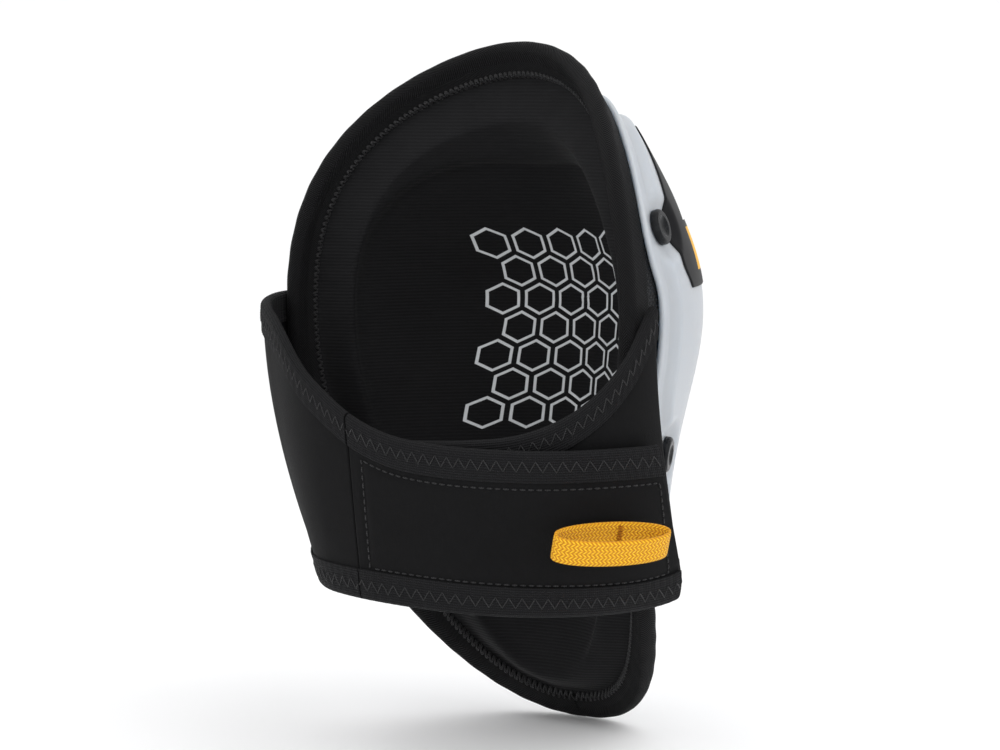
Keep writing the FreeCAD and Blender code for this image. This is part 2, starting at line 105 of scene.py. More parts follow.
def hull(u, angle):
    """The bowl's outer skin: u runs from 0 at the pole to 1 at the rim and angle from +X towards +Z. The
    front view grows as the sine of u, and the depth falls as a power of its cosine."""
    u, angle = np.broadcast_arrays(np.asarray(u, float), np.asarray(angle, float))
    up = np.sin(angle)
    above = up > 0
    height, power = np.where(above, TOP_RISE, POLE_Z), np.where(above, 2.05, 2.3)
    reach = ((np.abs(np.cos(angle)) / HALF_WIDTH) ** power + (np.abs(up) / height) ** power) ** (-1 / power)
    r = reach * np.sin(PI * u / 2)
    z = POLE_Z + r * up
    flare = 1 + (np.where(above, 2.2, 3.0) - 1) * up * up
    y = -lean(z) - DEPTH * np.maximum(0, np.cos(PI * u / 2)) ** flare
    return np.stack([r * np.cos(angle), y, z], -1)


def unit(v):
    return v / np.linalg.norm(v, axis=-1, keepdims=True)


def normal(u, angle):
    """Unit normal out of the bowl, from the cross product of small steps both ways."""
    e = 0.004
    u = np.clip(u, 0.02, 1 - e)
    return unit(np.cross(hull(u + e, angle) - hull(u - e, angle), hull(u, angle + e) - hull(u, angle - e)))


def skin(u, angle, depth):
    """The point at a depth below the outer skin."""
    return hull(u, angle) - normal(u, angle) * np.asarray(depth, float)[..., None]


# distances in from the rim along the skin, for each step of angle and of u, and the u at each half millimetre
TURN_STEPS, SHARE_STEPS, PER_MM, REACH = 720, 400, 2, 140
_angles, _shares = np.linspace(-PI, PI, TURN_STEPS + 1), np.linspace(0, 1, SHARE_STEPS + 1)
_steps = np.linalg.norm(np.diff(hull(_shares[None, :], _angles[:, None]), axis=1), axis=-1)
_far = np.concatenate([np.cumsum(_steps[:, ::-1], 1)[:, ::-1], np.zeros((TURN_STEPS + 1, 1))], 1)
_near_u = np.stack([np.interp(np.arange(0, REACH, 1 / PER_MM), row[::-1], _shares[::-1]) for row in _far])


def read(grid, i, j):
    """Value between a grid's rows and columns, weighted by nearness."""
    i, j = np.broadcast_arrays(np.clip(i, 0, grid.shape[0] - 1.001), np.clip(j, 0, grid.shape[1] - 1.001))
    a, b = i.astype(int), j.astype(int)
    s, t = i - a, j - b
    return ((grid[a, b] * (1 - t) + grid[a, b + 1] * t) * (1 - s)
            + (grid[a + 1, b] * (1 - t) + grid[a + 1, b + 1] * t) * s)


def turn_row(angle):
    """The row of an angle in those grids."""
    wrapped = (np.asarray(angle, float) + PI) % (2 * PI) - PI
    return (wrapped + PI) / (2 * PI) * TURN_STEPS


def inset(u, angle):
    """Distance in from the rim along the skin."""
    return read(_far, turn_row(angle), np.asarray(u, float) * SHARE_STEPS)


def u_inside(angle, distance):
    """u of the point a distance in from the rim."""
    return read(_near_u, turn_row(angle), np.asarray(distance, float) * PER_MM)


LEG_Y, LEG_RADIUS = 30.0, 0.085


def cloth_map(p):
    """Flat coordinates in metres for a weave: the turn about the leg times its radius, and the height."""
    return np.stack([np.arctan2(p[..., 0], LEG_Y - p[..., 1]) * LEG_RADIUS, p[..., 2] * 0.001], -1)


def add_mesh(name, points, faces, body=None, flat=None):
    """A new object from points in drawing millimetres, moved to the frame's origin and metres. flat holds the
    flat coordinates of each point."""
    mesh = bpy.data.meshes.new(name)
    place = (np.asarray(points, float).reshape(-1, 3) - (0, 0, POLE_Z)) * 0.001
    mesh.from_pydata(place, [], faces)
    mesh.update()
    mesh.polygons.foreach_set("use_smooth", np.ones(len(mesh.polygons), bool))
    if flat is not None:
        corner = np.empty(len(mesh.loops), np.int32)
        mesh.loops.foreach_get("vertex_index", corner)
        layer = mesh.uv_layers.new(name="cloth")
        layer.data.foreach_set("uv", np.asarray(flat, np.float32).reshape(-1, 2)[corner].ravel())
    obj = bpy.data.objects.new(name, mesh)
    bpy.context.scene.collection.objects.link(obj)
    if body:
        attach(obj, body)
    return obj


def grid_faces(rows, columns, wrap_rows=False, wrap_columns=False, flip=False):
    """Quads between neighbouring points of a grid that is numbered row by row."""
    i, j = np.meshgrid(np.arange(rows if wrap_rows else rows - 1),
                       np.arange(columns if wrap_columns else columns - 1), indexing="ij")
    i2, j2 = (i + 1) % rows, (j + 1) % columns
    quad = np.stack([i * columns + j, i * columns + j2, i2 * columns + j2, i2 * columns + j], -1)
    quad = quad.reshape(-1, 4)
    return (quad[:, ::-1] if flip else quad).tolist()


def add_bowl(name, rows):
    """A closed shell on the pad from rows of rings: the first and the last ring are single points."""
    n = rows.shape[1]
    ring = rows[1:-1].reshape(-1, 3)
    points = np.concatenate([rows[0, :1], ring, rows[-1, :1]])
    quads = (np.array(grid_faces(rows.shape[0] - 2, n, wrap_columns=True)) + 1).tolist()
    k = np.arange(n)
    first = np.stack([np.zeros(n, int), 1 + (k + 1) % n, 1 + k], -1)
    base = 1 + (rows.shape[0] - 3) * n
    last = np.stack([np.full(n, len(points) - 1), base + k, base + (k + 1) % n], -1)
    faces = quads + first.tolist() + last.tolist()
    return add_mesh(name, points, faces, "pad", cloth_map(points))


def round_edge(u, angle, top, bottom, steps):
    """Half a circle from the outer face round to the inner one at a shell's edge, out along the skin."""
    outward = unit(hull(u, angle) - hull(u - 0.02, angle))
    middle, radius = (top + bottom) / 2, (bottom - top) / 2
    turn = np.linspace(0, PI, steps)[:, None]
    return (skin(u, angle, middle)[None] + normal(u, angle)[None] * (radius * np.cos(turn))[..., None]
            + outward[None] * (radius * np.sin(turn))[..., None])


AROUND = np.linspace(-PI, PI, 361)[:-1]


def shell_rows(edge_distance, top, bottom, dense=20.0, rings=(40, 46), edge_steps=7):
    """Rings of a bowl-shaped layer, from the outer pole to the edge, round it, and back to the inner pole. The
    rings are close together over the dense distance next to the edge."""
    a = AROUND[None, :]
    near = u_inside(a, edge_distance + np.linspace(0, 1, rings[0])[:, None] * dense)
    far = near[-1:] * np.linspace(1, 0, rings[1])[1:, None] ** 0.9
    far[-1] = 0.0
    u = np.concatenate([near, far])[::-1]
    outer, inner = skin(u, a, top(u, a)), skin(u, a, bottom(u, a))
    edge = round_edge(u[-1], AROUND, top(u[-1:], a)[0], bottom(u[-1:], a)[0], edge_steps)[1:-1]
    return np.concatenate([outer, edge, inner[::-1]])


class Recipe:
    """Wires one node material. Plain values go straight to the shader's sockets by name."""

    def __init__(self, name, **values):
        self.material = bpy.data.materials.new(name)
        self.material.use_nodes = True
        self.tree = self.material.node_tree
        self.shader = self.tree.nodes["Principled BSDF"]
        for key, value in values.items():
            self.shader.inputs[key.replace("_", " ")].default_value = value

    def add(self, kind, **settings):
        node = self.tree.nodes.new("ShaderNode" + kind)
        for key, value in settings.items():
            setattr(node, key, value)
        return node

    def put(self, value, socket):
        if isinstance(value, bpy.types.NodeSocket):
            self.tree.links.new(value, socket)
        else:
            socket.default_value = value

    def math(self, operation, *values):
        node = self.add("Math", operation=operation)
        for value, socket in zip(values, node.inputs):
            self.put(value, socket)
        return node.outputs[0]

    def mix(self, share, a, b):
        node = self.add("Mix", data_type="RGBA")
        for value, socket in zip((share, a, b), (node.inputs[0], node.inputs[6], node.inputs[7])):
            self.put(value, socket)
        return node.outputs[2]

    def ramp(self, value, low, high):
        node = self.add("MapRange", interpolation_type="SMOOTHSTEP")
        for item, socket in zip((value, low, high), node.inputs):
            self.put(item, socket)
        return node.outputs[0]

    def noise(self, where, scale, detail=2.0, roughness=0.5):
        node = self.add("TexNoise")
        self.put(where, node.inputs["Vector"])
        for key, value in (("Scale", scale), ("Detail", detail), ("Roughness", roughness)):
            node.inputs[key].default_value = value
        return node.outputs[0]

    def object_place(self):
        return self.add("TexCoord").outputs["Object"]

    def cloth_place(self):
        return self.add("UVMap", uv_map="cloth").outputs[0]

    def axes(self, vector):
        node = self.add("SeparateXYZ")
        self.put(vector, node.inputs[0])
        return node.outputs

    def stretched(self, vector, scale):
        node = self.add("Mapping")
        self.put(vector, node.inputs[0])
        node.inputs["Scale"].default_value = scale
        return node.outputs[0]

    def bump(self, *layers):
        """Bumps laid on each other, each (height, depth in metres)."""
        last = None
        for height, depth in layers:
            node = self.add("Bump")
            node.inputs["Strength"].default_value = 1.0
            node.inputs["Distance"].default_value = depth
            self.put(height, node.inputs["Height"])
            if last:
                self.put(last, node.inputs["Normal"])
            last = node.outputs[0]
        self.put(last, self.shader.inputs["Normal"])

    def colour(self, value):
        self.put(value, self.shader.inputs["Base Color"])

    def rough(self, value):
        self.put(value, self.shader.inputs["Roughness"])

    def on(self, *objects):
        for obj in objects:
            obj.data.materials.clear()
            obj.data.materials.append(self.material)


YARN = 0.0011


def nylon_cloth():
    """Basket weave: yarns of one pitch over and under in a checker, with dark gaps between them."""
    r = Recipe("coarse_nylon", Sheen_Weight=0.03, Sheen_Roughness=0.4, Specular_IOR_Level=0.2)
    place = r.cloth_place()
    x, y = (r.math("DIVIDE", axis, YARN) for axis in r.axes(place)[:2])
    over = r.math("MODULO", r.math("ABSOLUTE", r.math("ADD", r.math("FLOOR", x), r.math("FLOOR", y))), 2.0)
    across, along = (r.math("ABSOLUTE", r.math("SINE", r.math("MULTIPLY", k, PI))) for k in (x, y))
    yarn = r.math("ADD", r.math("MULTIPLY", across, r.math("SUBTRACT", 1.0, over)),
                  r.math("MULTIPLY", along, over))
    worn = r.math("ADD", 0.75, r.math("MULTIPLY", r.noise(place, 60.0, 3.0), 0.5))
    tone = r.math("MULTIPLY", r.math("ADD", r.math("MULTIPLY", yarn, 0.75), 0.25), worn)
    r.colour(r.mix(tone, (0.001, 0.001, 0.0012, 1), (0.014, 0.0145, 0.016, 1)))
    r.rough(r.math("SUBTRACT", 0.75, r.math("MULTIPLY", yarn, 0.22)))
    r.bump((yarn, 0.0004))
    return r


cover_rows = shell_rows(TAPE_ROUND, lambda u, a: 0 * u, lambda u, a: 0 * u + COVER_T, rings=(24, 30))
cover = add_bowl("woven_cover", cover_rows)
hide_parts("outer_cover")
nylon_cloth().on(cover)


# ---- Lining -------------------------------------------------------------------------------------------
# A brushed black knit over soft foam, heat moulded so that a padded ridge runs round a shallow hollow for
# the knee. A light grey outline pattern is printed in the middle of the hollow.
HOLLOW_T, RISE, LINING_T = 14.5, (12.6, 23.0), 1.3
RIB, CELL, BLOCK_HALF, BLOCK_MIDDLE, PRINT = 0.00125, 0.0125, (2.9, 3.2), -1.0, (0.70, 0.72, 0.74, 1)


def thickness(u, angle):
    """Cover to lining: thin at the rim, thickest on the ridge, less inside the hollow."""
    d, up = inset(u, angle), np.maximum(0, np.sin(angle)) ** 2
    hollow = 19.0 + 19.0 * up
    ridge = (2.6 + 1.8 * up) * (1 - smooth(d, hollow, hollow + 9.0))
    return RIM_T + (HOLLOW_T - RIM_T + ridge) * smooth(d, *RISE)


def soft_thickness(u, angle):
    """The moulded thickness with slow dents where the foam is uneven, and short ripples by the seam."""
    d = inset(u, angle)
    dents = 0.25 * np.sin(3 * angle + d / 9) * np.sin(d / 13 + 2 * np.cos(2 * angle))
    by_seam = smooth(d, 11.5, 13.5) * (1 - smooth(d, 14, 24))
    ripples = 0.18 * np.sin(46 * angle + 3 * np.sin(5 * angle)) * by_seam
    return thickness(u, angle) + dents * smooth(d, 14, 26) + ripples


def lining_cloth():
    """Knit with fine level ribs and a brushed nap, and a honeycomb of thin printed outlines in the middle."""
    r = Recipe("brushed_knit", Sheen_Weight=0.04, Sheen_Roughness=0.45, Roughness=0.85,
               Specular_IOR_Level=0.1)
    place, here = r.cloth_place(), r.object_place()
    level = r.axes(place)[1]
    rib = r.math("SINE", r.math("MULTIPLY", level, 2 * PI / RIB))
    nap = r.noise(r.stretched(place, (1.0, 2.4, 1.0)), 1500.0, 3.0, 0.65)
    cloud = r.noise(place, 55.0, 4.0, 0.6)
    x, _, z = r.axes(here)
    tall = math.sqrt(3)
    px, py = r.math("DIVIDE", x, CELL), r.math("DIVIDE", z, CELL)

    def lattice(shift_x, shift_y):
        """(distance, print) for one set of cells: the distance from a cell's centre as a hexagon measures it,
        the larger of the level and the slant one, and 1 where that centre lies inside the printed block."""
        off = [r.math("SUBTRACT", r.math("FLOORED_MODULO", r.math("ADD", value, shift), size), size / 2)
               for value, size, shift in ((px, 1.0, shift_x), (py, tall, shift_y))]
        ax, ay = (r.math("ABSOLUTE", value) for value in off)
        slant = r.math("ADD", r.math("MULTIPLY", ax, 0.5), r.math("MULTIPLY", ay, tall / 2))
        middle_x = r.math("ABSOLUTE", r.math("SUBTRACT", px, off[0]))
        middle_y = r.math("ABSOLUTE", r.math("SUBTRACT", r.math("SUBTRACT", py, off[1]), BLOCK_MIDDLE))
        inside = r.math("MULTIPLY", *(r.math("LESS_THAN", value, half)
                                      for value, half in zip((middle_x, middle_y), BLOCK_HALF)))
        return r.math("MAXIMUM", ax, slant), inside
    (near_a, in_a), (near_b, in_b) = lattice(0.5, 0.0), lattice(0.0, tall / 2)
    first = r.math("LESS_THAN", near_a, near_b)
    nearest = r.math("MINIMUM", near_a, near_b)
    inside = r.math("ADD", r.math("MULTIPLY", first, in_a),
                    r.math("MULTIPLY", r.math("SUBTRACT", 1.0, first), in_b))
    outline = r.math("MULTIPLY", r.ramp(nearest, 0.352, 0.362),
                     r.math("SUBTRACT", 1.0, r.ramp(nearest, 0.428, 0.438)))
    printed = r.math("MULTIPLY", outline, inside)
    rubbed = r.math("SUBTRACT", 1.0, r.math("MULTIPLY", r.ramp(nap, 0.62, 0.8), 0.35))
    worn = r.math("MULTIPLY", printed, rubbed)
    tone = r.math("ADD", r.math("MULTIPLY", nap, 0.55), r.math("MULTIPLY", cloud, 0.45))
    dark = r.mix(tone, (0.0025, 0.0025, 0.003, 1), (0.014, 0.014, 0.015, 1))
    ribbed = r.mix(r.ramp(rib, -1.0, 1.0), dark, r.mix(0.2, dark, (0.026, 0.026, 0.027, 1)))
    r.colour(r.mix(worn, ribbed, PRINT))
    r.bump((r.math("MULTIPLY", rib, r.math("SUBTRACT", 1.0, printed)), 0.00006), (nap, 0.00016))
    return r


lining_rows = shell_rows(TAPE_ROUND, lambda u, a: thickness(u, a) - LINING_T, soft_thickness, dense=60.0,
                         rings=(70, 40))
lining = add_bowl("moulded_lining", lining_rows)
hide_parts("inner_lining")
lining_cloth().on(lining)


# ---- Foam, gel and rivet washers ----------------------------------------------------------------------
# Inside the bowl: a firm moulded foam core under the cover, a gel pad behind the kneecap, open soft foam
# under the lining, and a plain steel washer behind each rivet.
def foam_stuff(name, light, dark, cells, depth):
    """Foam: pits from three octaves of noise, with painted shade that makes them darker where they are deep."""
    r = Recipe(name, Roughness=0.9)
    here = r.object_place()
    pit_depth_and_shade = r.noise(here, cells, 3.0, 0.7)
    # painted shade: the colour goes from the light tone to the dark one as the pits deepen
    r.colour(r.mix(pit_depth_and_shade, dark, light))
    r.bump((pit_depth_and_shade, depth))
    return r


node = frame["nodes"]
firm_foam = foam_stuff("firm_foam", (0.09, 0.09, 0.095, 1), (0.02, 0.02, 0.022, 1), 900.0, 0.0003)
firm_foam.on(node["foam_core"])
soft_foam = foam_stuff("soft_foam", (0.5, 0.49, 0.44, 1), (0.2, 0.2, 0.18, 1), 600.0, 0.0006)
soft_foam.on(node["comfort_foam"])
gel = Recipe("soft_gel", Roughness=0.25, Transmission_Weight=0.5, IOR=1.42)
gel.colour(gel.mix(gel.noise(gel.object_place(), 40.0), (0.1, 0.3, 0.6, 1), (0.2, 0.45, 0.75, 1)))
gel.on(node["gel_pad"])
washer = Recipe("plain_steel", Metallic=1.0)
grain = washer.noise(washer.object_place(), 2500.0, 2.0)
washer.colour(washer.mix(grain, (0.35, 0.35, 0.36, 1), (0.6, 0.6, 0.6, 1)))
washer.rough(washer.math("ADD", 0.28, washer.math("MULTIPLY", grain, 0.2)))
corners = [f"{level}_{hand}" for level in ("upper", "lower") for hand in ("left", "right")]
washer.on(*(node[corner + "_washer"] for corner in corners))


# ---- Edge tape ----------------------------------------------------------------------------------------
# A herringbone tape folded over the raw edge of the bowl and sewn through. It is one length, butted at the
# bottom. A row of overcast stitches runs along its inner edge, where the lining rolls up against it.
TAPE_T, FLANGE, AIR = 0.8, 7.4, 0.15
TWILL, CHEVRON_W, PUCKER = 0.00105, 0.0046, 0.10


def fold_section(half_gap, flange, thick, steps=9, legs=8):
    """A U-shaped section as (along the skin, off its middle) pairs, closed: out round the fold and back
    inside. The fold is half a circle and each leg is straight, with a pointed tip."""
    turn = np.linspace(-PI / 2, PI / 2, steps * 2 + 1)
    leg = np.linspace(1, 0, legs, endpoint=False)

    def side(radius):
        fold = np.stack([radius * np.cos(turn), radius * np.sin(turn)], -1)
        low = np.stack([-flange * leg, np.full(legs, -radius)], -1)
        return np.concatenate([low, fold, np.stack([-flange * leg[::-1], np.full(legs, radius)], -1)])
    tip = np.array([[-flange - thick * 0.45, half_gap + thick * 0.5]])
    return np.concatenate([side(half_gap + thick), tip, side(half_gap)[::-1], tip * (1, -1)])


def tape_points(section, angle):
    """The section carried round the rim: its first number runs along the skin to the rim, its second off it."""
    edge = u_inside(angle, TAPE_ROUND)
    outward = unit(hull(edge, angle) - hull(edge - 0.02, angle))
    middle, out = skin(edge, angle, RIM_T / 2), normal(edge, angle)
    along, off = section[None, :, 0], section[None, :, 1]
    on_leg = along < 0
    u = u_inside(angle[:, None], TAPE_ROUND - np.minimum(along, 0))
    leg = skin(u, angle[:, None], RIM_T / 2 - off)
    fold = middle[:, None] + out[:, None] * off[..., None] + outward[:, None] * along[..., None]
    return np.where(on_leg[..., None], leg, fold)


def arc_length(path):
    """Distance along a path of points."""
    step = np.linalg.norm(np.diff(path, axis=0), axis=-1)
    return np.concatenate([[0], np.cumsum(step)])


def chevron(r, place, period, stripe, slant=1.0):
    """Twill lines that turn back at each stripe: a sine of the length plus a zigzag of the width."""
    along, across = r.axes(place)[:2]
    zigzag = r.math("MULTIPLY", r.math("PINGPONG", across, stripe), slant)
    return r.math("SINE", r.math("MULTIPLY", r.math("ADD", along, zigzag), 2 * PI / period))


def tape_cloth():
    """Herringbone tape: slanting twill lines, a fine cross thread and slow tone changes."""
    r = Recipe("herringbone_tape", Sheen_Weight=0.015, Sheen_Roughness=0.35, Specular_IOR_Level=0.12)
    place = r.cloth_place()
    twill = chevron(r, place, TWILL, CHEVRON_W, 1.1)
    thread = r.noise(r.stretched(place, (1.0, 3.0, 1.0)), 2200.0, 2.0)
    cloud = r.noise(place, 90.0, 3.0)
    tone = r.math("ADD", r.math("MULTIPLY", r.ramp(twill, -0.9, 0.9), 0.7),
                  r.math("ADD", r.math("MULTIPLY", thread, 0.2), r.math("MULTIPLY", cloud, 0.1)))
    r.colour(r.mix(tone, (0.0005, 0.0005, 0.0006, 1), (0.012, 0.012, 0.0135, 1)))
    r.rough(r.math("SUBTRACT", 0.78, r.math("MULTIPLY", tone, 0.2)))
    r.bump((twill, 0.00026), (thread, 0.0001))
    return r


rim_turn = -PI / 2 + np.linspace(0, 2 * PI, 901)[:-1]
section = fold_section(RIM_T / 2 + AIR, FLANGE, TAPE_T)
tape_shape = tape_points(section, rim_turn)
rim_line = hull(np.ones(901), np.append(rim_turn, rim_turn[0] + 2 * PI))
tape_along = arc_length(rim_line)[:-1]
fold_share = np.where(section[None, :, 0] < 0, 0.5, 1.0)[..., None]
pucker = PUCKER * np.sin(tape_along / 1.9)[:, None, None] * fold_share
rim_off = normal(u_inside(rim_turn, TAPE_ROUND), rim_turn)[:, None]
tape_shape = tape_shape + rim_off * pucker * np.sign(section[None, :, 1, None])
tape_flat = np.stack(np.broadcast_arrays(tape_along[:, None], arc_length(section)[None, :]), -1) * 0.001
tape_faces = grid_faces(*tape_shape.shape[:2], True, True)
edge_tape = add_mesh("edge_tape", tape_shape, tape_faces, "pad", tape_flat)
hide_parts("edge_binding")
tape_cloth().on(edge_tape)


def tube(name, path, radius, body, closed=False, sides=6):
    """A thread: a ring of points at each point of the path, square to its run."""
    path = np.asarray(path, float)
    ahead = unit(np.roll(path, -1, 0) - np.roll(path, 1, 0)) if closed else unit(np.gradient(path, axis=0))
    side = unit(np.cross(ahead, (0.31, 0.22, 0.93)))
    up = np.cross(ahead, side)
    turn = np.linspace(0, 2 * PI, sides, endpoint=False)
    round_it = side[:, None] * np.cos(turn)[None, :, None] + up[:, None] * np.sin(turn)[None, :, None]
    ring = path[:, None] + radius * round_it
    faces = grid_faces(len(path), sides, closed, True, flip=True)
    if not closed:
        n = len(path) * sides
        faces += [list(range(sides)), list(range(n - 1, n - 1 - sides, -1))]
    length = arc_length(path)
    flat = np.stack(np.broadcast_arrays(length[:, None], turn[None, :] * radius), -1) * 0.001
    return add_mesh(name, ring, faces, body, flat)


def thread_stuff(name, light, dark):
    """Twisted thread: slanting strands round it, from the length plus the way round."""
    r = Recipe(name, Roughness=0.5, Sheen_Weight=0.05, Specular_IOR_Level=0.35)
    along, across = r.axes(r.cloth_place())[:2]
    strand = r.math("SINE", r.math("ADD", r.math("MULTIPLY", along, 2 * PI / 0.0008),
                                   r.math("MULTIPLY", across, 4000.0)))
    r.colour(r.mix(r.ramp(strand, -1.0, 1.0), dark, light))
    r.bump((strand, 0.00005))
    return r


black_thread = thread_stuff("black_thread", (0.022, 0.022, 0.024, 1), (0.003, 0.003, 0.003, 1))


OVERCAST_LIFT, OVERCAST_REACH, OVERCAST_PITCH, OVERCAST_R, PER_STITCH = 0.3, 1.3, 2.6, 0.42, 8


def under_thread(u, angle):
    """Depth of what the overcast thread lies on: the tape where it reaches, and the lining past it."""
    tape = RIM_T + AIR + TAPE_T * (inset(u, angle) < TAPE_ROUND + FLANGE + 0.4)
    return np.maximum(soft_thickness(u, angle), tape)


def overcast():
    """Overcast stitches: a clipped sine to and fro between the tape's edge and the lining beside it."""
    k = np.arange(int(tape_along[-1] / OVERCAST_PITCH) * PER_STITCH)
    angle = np.interp(k / len(k), tape_along / tape_along[-1], rim_turn)
    phase = k / PER_STITCH * 2 * PI
    distance = TAPE_ROUND + FLANGE + 0.1 + OVERCAST_REACH * np.clip(1.25 * np.sin(phase), -1, 1)
    u = u_inside(angle, distance)
    return skin(u, angle, under_thread(u, angle) + OVERCAST_LIFT * (0.6 + 0.4 * np.cos(phase * 2)))


overcast_row = tube("overcast_stitches", overcast(), OVERCAST_R, "pad", closed=True)
black_thread.on(overcast_row)


# ---- Hard cap -----------------------------------------------------------------------------------------
# One milky injection-moulded shell that slides on roofs and floors. A thin flange runs round it and lobes
# carry the rivets; the middle stands up from the flange, and is dished round each rivet.
CAP_EDGE = ((-15, 23), (0, 25), (15, 22), (26, 16), (36, 12.8), (48, 12.4), (67, 12.4), (76, 15), (83, 19),
            (92, 20), (101, 18), (110, 13.6), (118, 12.4), (130, 12.6), (142, 20), (158, 37), (180, 48),
            (202, 37))
CAP_GAP, CAP_T, CAP_RAISE = 0.6, 2.4, 3.0
RIVETS = {"upper": (67.0, 20.5), "lower": (125.0, 20.5)}


def from_top(angle):
    """Degrees from straight up, the same on both sides."""
    return np.abs((np.degrees(angle) + 90) % 360 - 180)


def cap_inset(angle):
    return through(CAP_EDGE, from_top(angle))


rivet_angle = np.radians([90 - side * turned for turned, _ in RIVETS.values() for side in (1, -1)])
rivet_inset = np.repeat([inside for _, inside in RIVETS.values()], 2)
rivet_foot = hull(u_inside(rivet_angle, rivet_inset), rivet_angle)


def cap_lift(u, angle):
    """Height of the cap's outer face over the skin: flange, slope and raised middle, and a dish at each
    rivet."""
    flange = 13.0 - 9.5 * smooth(from_top(angle), 12, 42)
    raised = smooth(inset(u, angle) - cap_inset(angle), flange, flange + 5.5)
    gap = np.linalg.norm(hull(u, angle)[..., None, :] - rivet_foot, axis=-1)
    return CAP_GAP + CAP_T + CAP_RAISE * raised * smooth(gap, 8.0, 14.0).prod(-1)


def cap_plastic():
    """Milky polyethylene: a little light goes in and scatters, with faint flow clouds and fine scuffs."""
    r = Recipe("milky_cap", Subsurface_Weight=0.55, Subsurface_Radius=(0.006, 0.007, 0.008),
               Subsurface_Scale=1.0, IOR=1.45)
    here = r.object_place()
    cloud = r.noise(here, 14.0, 3.0)
    scuff = r.noise(r.stretched(here, (1.0, 1.0, 0.25)), 900.0, 3.0, 0.7)
    r.colour(r.mix(cloud, (0.385, 0.415, 0.455, 1), (0.465, 0.485, 0.51, 1)))
    r.rough(r.math("ADD", 0.30, r.math("MULTIPLY", scuff, 0.16)))
    r.bump((scuff, 0.00002), (cloud, 0.0002))
    return r


cap_rows = shell_rows(cap_inset(AROUND)[None, :], lambda u, a: -cap_lift(u, a),
                      lambda u, a: CAP_T - cap_lift(u, a), dense=27.0, rings=(60, 60), edge_steps=11)
cap = add_bowl("hard_cap", cap_rows)
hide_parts("knee_cap")
cap_plastic().on(cap)


# ---- Badge --------------------------------------------------------------------------------------------
# A thin black plastic badge on the upper front of the cap. It carries a plain white bar and a plain yellow
# bar, and no words.
BADGE_SIDE = ((168, 72.0), (176, 73.0), (186, 71.5), (196, 68.0), (206, 62.0), (214, 55.5), (223, 46.0))
BADGE_GAP, BADGE_T, BADGE_ROUND, BADGE_GRID = 0.2, 0.5, 0.35, (121, 41)
WHITE_BAR, YELLOW_BAR = (0.0335, 0.0575, 0.0684, 0.0530), (0.0155, 0.0310, 0.0720, 0.0695)


def badge_point(s, t, lift, shrink=0.0):
    """Across by a sine of s, so that points crowd at the side edges, and up by t, at a height over the cap."""
    z = BADGE_SIDE[0][0] + shrink + (BADGE_SIDE[-1][0] - BADGE_SIDE[0][0] - 2 * shrink) * t
    x = (through(BADGE_SIDE, z) - shrink) * np.sin(PI / 2 * (2 * s - 1))
    share = np.hypot(x, z - POLE_Z)
    angle = np.arctan2(z - POLE_Z, x)
    rim = np.hypot(*np.moveaxis(hull(np.ones_like(angle), angle)[..., [0, 2]] - (0, POLE_Z), -1, 0))
    u = 2 / PI * np.arcsin(np.clip(share / rim, 0, 1))
    return skin(u, angle, -cap_lift(u, angle) - lift)


def badge_stuff():
    """Black face with a white bar above a yellow one, both kept clear of the side edges; slight orange peel."""
    r = Recipe("badge_face", Roughness=0.5, Specular_IOR_Level=0.12)
    here = r.object_place()
    x, _, z = r.axes(here)
    wide = r.math("ABSOLUTE", x)

    def bar(low, high, side_low, side_high):
        """Between two heights, and inside a side line that slants between two half widths."""
        slope = (side_high - side_low) / (high - low)
        side = r.math("ADD", side_low, r.math("MULTIPLY", r.math("SUBTRACT", z, low), slope))
        level = r.math("MULTIPLY", r.math("GREATER_THAN", z, low), r.math("LESS_THAN", z, high))
        return r.math("MULTIPLY", level, r.math("LESS_THAN", wide, side))
    white, yellow = bar(*WHITE_BAR), bar(*YELLOW_BAR)
    speck = r.noise(here, 1800.0, 2.0)
    face = r.mix(white, (0.006, 0.006, 0.007, 1), (0.86, 0.87, 0.87, 1))
    r.colour(r.mix(yellow, face, (0.80, 0.43, 0.03, 1)))
    r.bump((speck, 0.00002))
    return r


s_grid, t_grid = np.meshgrid(*(np.linspace(0, 1, count) for count in BADGE_GRID), indexing="ij")
top = badge_point(s_grid, t_grid, BADGE_GAP + BADGE_T, BADGE_ROUND)
shoulder = badge_point(s_grid, t_grid, BADGE_GAP + BADGE_T * 0.6)
foot = badge_point(s_grid, t_grid, BADGE_GAP - 0.15)


def border(grid):
    """The points round a grid's edge, in order."""
    return np.concatenate([grid[:-1, 0], grid[-1, :-1], grid[:0:-1, -1], grid[0, :0:-1]])


n_top = top.size // 3
ring = border(np.arange(n_top).reshape(BADGE_GRID))
n_ring = len(ring)
k = np.arange(n_ring)
k2 = (k + 1) % n_ring
upper = np.stack([ring, n_top + k, n_top + k2, ring[k2]], -1)
lower = np.stack([n_top + k, n_top + n_ring + k, n_top + n_ring + k2, n_top + k2], -1)
badge_faces = grid_faces(*BADGE_GRID, flip=True) + upper.tolist() + lower.tolist()
badge_points = np.concatenate([top.reshape(-1, 3), border(shoulder), border(foot)])
badge = add_mesh("cap_badge", badge_points, badge_faces, "pad", cloth_map(badge_points))
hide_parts("cap_label")
badge_stuff().on(badge)


# ---- Rivets -------------------------------------------------------------------------------------------
# Four dished steel rivets, black lacquered and glossy, which hold the cap to the cover and the core.
rivet = Recipe("black_lacquered_steel", Coat_Weight=0.04, Coat_Roughness=0.08, Specular_IOR_Level=0.1)
smear = rivet.noise(rivet.object_place(), 350.0, 3.0)
rivet.colour(rivet.mix(smear, (0.003, 0.0035, 0.004, 1), (0.012, 0.013, 0.015, 1)))
rivet.rough(rivet.math("ADD", 0.2, rivet.math("MULTIPLY", smear, 0.15)))
rivet.bump((smear, 0.00002))
rivet.on(*(node[corner + "_rivet"] for corner in corners))


